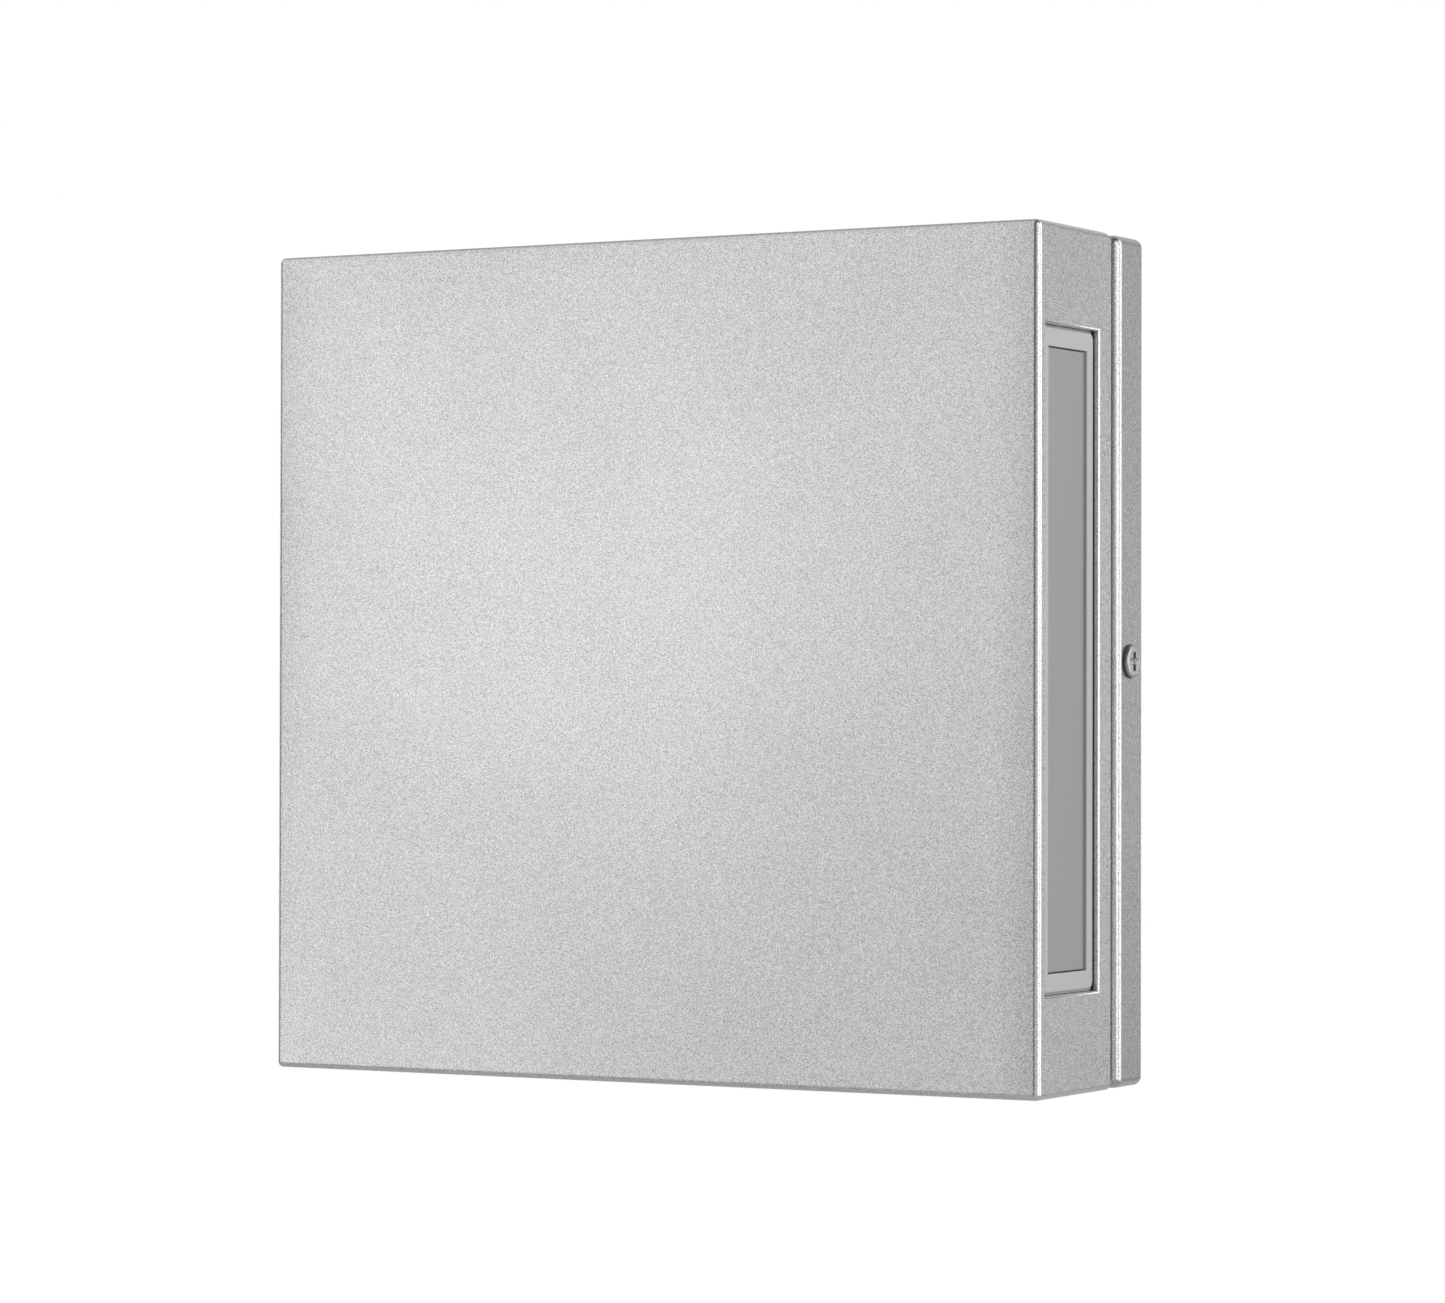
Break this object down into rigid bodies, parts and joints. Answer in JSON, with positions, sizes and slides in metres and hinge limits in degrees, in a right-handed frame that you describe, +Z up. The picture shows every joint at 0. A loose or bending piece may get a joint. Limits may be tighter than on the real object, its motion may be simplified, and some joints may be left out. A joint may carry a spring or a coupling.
{
  "type": "outdoor wall lantern",
  "caption": "Flat square sheet-metal wall lantern with a tall lens in each side wall, standing off a shallow wall pan on a hidden outlet-box bracket.",
  "frame": {"origin": "centre of the outlet-box slots on the wall plane", "axes": "+X to the lantern's right as seen from the front, +Y into the wall, +Z up"},
  "size_m": [0.257, 0.0685, 0.244],
  "materials": {
    "silver_paint": "fine textured metallic powder coat",
    "lens_grey": "fine satin",
    "opal": "smooth satin, translucent",
    "silicone": "matte",
    "aluminium_sheet": "mill finish",
    "zinc_steel": "bright zinc plate",
    "stainless": "bright, passivated",
    "galvanised": "spangled galvanised sheet",
    "board_white": "white solder resist",
    "led_yellow": "phosphor under clear resin",
    "connector_white": "moulded",
    "driver_white": "moulded, fine texture",
    "clip_black": "moulded",
    "lead_sheath": "matte extruded",
    "green_screw": "green dyed zinc plate"
  },
  "bodies": {
    "lantern": {"front_housing": "silver_paint", "corner_tabs": "aluminium_sheet", "rear_cover": "silver_paint", "cover_seal": "silicone", "cover_screws": "stainless", "light_bar_screws": "zinc_steel", "driver_case": "driver_white", "driver_lid": "driver_white", "driver_screws": "zinc_steel", "lead_clips": "clip_black", "cable_nipple": "zinc_steel", "nipple_nuts": "zinc_steel", "nipple_seals": "silicone", "nipple_spacer": "aluminium_sheet", "nipple_bushings": "clip_black", "back_pan": "silver_paint", "spacers": "aluminium_sheet", "spacer_screws": "stainless", "clinch_nuts": "stainless", "mounting_bracket": "galvanised", "ground_screw": "green_screw", "right_lens_frame": "lens_grey", "left_lens_frame": "lens_grey", "right_diffuser": "opal", "left_diffuser": "opal", "right_lens_gasket": "silicone", "left_lens_gasket": "silicone", "right_retainer": "zinc_steel", "left_retainer": "zinc_steel", "right_weld_studs": "aluminium_sheet", "left_weld_studs": "aluminium_sheet", "right_retainer_nuts": "zinc_steel", "left_retainer_nuts": "zinc_steel", "right_light_bar": "aluminium_sheet", "left_light_bar": "aluminium_sheet", "right_led_board": "board_white", "left_led_board": "board_white", "right_leds": "led_yellow", "left_leds": "led_yellow", "right_board_connector": "connector_white", "left_board_connector": "connector_white", "right_board_screws": "zinc_steel", "left_board_screws": "zinc_steel", "right_led_lead": "lead_sheath", "left_led_lead": "lead_sheath"},
    "right_washer": {"right_screw_washer": "silicone"},
    "right_screw": {"right_release_screw": "stainless"},
    "left_washer": {"left_screw_washer": "silicone"},
    "left_screw": {"left_release_screw": "stainless"}
  },
  "joints": [
    {"name": "right_screw_travel", "type": "slide", "parent": "lantern", "child": "right_washer", "axis": [1, 0, 0], "range_m": [0, 0.0084]},
    {"name": "right_screw_turn", "type": "hinge", "parent": "right_washer", "child": "right_screw", "pos_m": [0.127, -0.0079, 0], "axis": [1, 0, 0], "range_deg": [0, 4320]},
    {"name": "left_screw_travel", "type": "slide", "parent": "lantern", "child": "left_washer", "axis": [-1, 0, 0], "range_m": [0, 0.0084]},
    {"name": "left_screw_turn", "type": "hinge", "parent": "left_washer", "child": "left_screw", "pos_m": [-0.127, -0.0079, 0], "axis": [-1, 0, 0], "range_deg": [0, 4320]}
  ],
  "couplings": [
    {"joint": "right_screw_turn", "follows": "right_screw_travel", "rad_per_m": 8975.9},
    {"joint": "left_screw_turn", "follows": "left_screw_travel", "rad_per_m": 8975.9}
  ]
}
